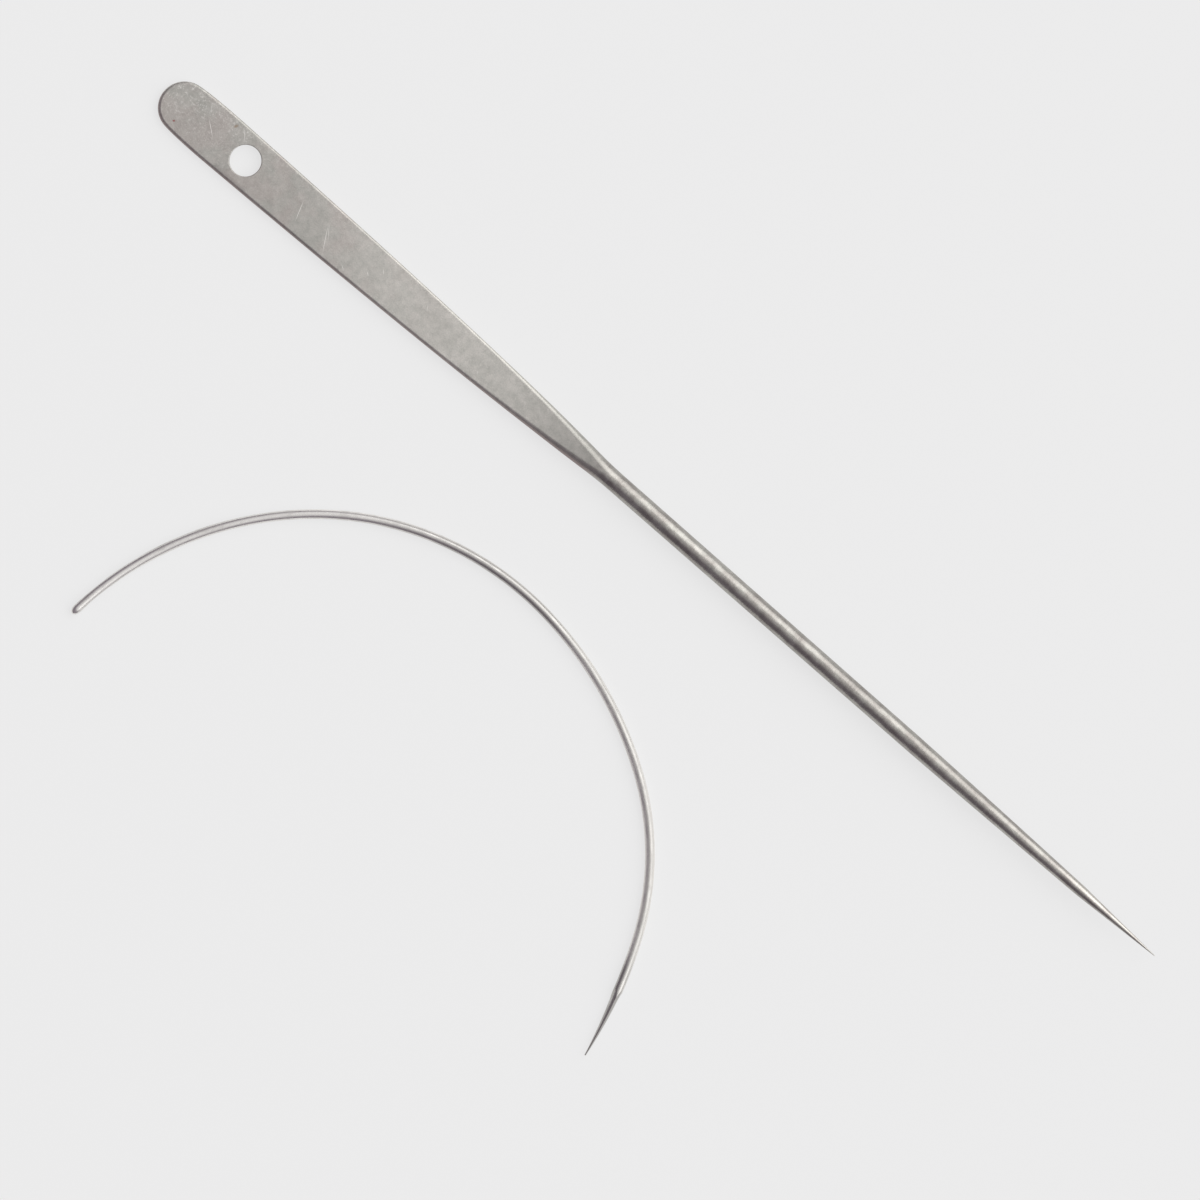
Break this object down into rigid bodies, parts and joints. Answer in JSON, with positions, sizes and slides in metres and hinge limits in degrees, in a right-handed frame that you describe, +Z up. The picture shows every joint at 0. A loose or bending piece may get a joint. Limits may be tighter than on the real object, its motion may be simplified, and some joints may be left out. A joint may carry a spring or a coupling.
{
  "type": "upholstery needle set",
  "caption": "Upholstery needles: a straight one with a flat forged head, round eye and long tapered point, and a half-circle curved one with a three-sided point.",
  "frame": {"origin": "on the table that the needles lie on, in the middle of the box round both", "axes": "+X along the straight needle from its head to its point, +Y across from the curved needle to the straight one, +Z up from the table"},
  "size_m": [0.2, 0.0734, 0.0037],
  "materials": {
    "satin_steel": "satin ground steel, warm grey, with fine handling scratches and faint stains",
    "bright_steel": "bright drawn steel wire, brighter and smoother than the straight needle"
  },
  "bodies": {
    "straight_needle": {"straight_needle_head": "satin_steel", "straight_needle_shaft": "satin_steel"},
    "curved_needle": {"curved_needle": "bright_steel"}
  },
  "joints": [
    {"name": "curved_needle_lift", "type": "slide", "parent": "straight_needle", "child": "curved_needle", "axis": [0, 0, 1], "range_m": [0, 0.05]}
  ]
}
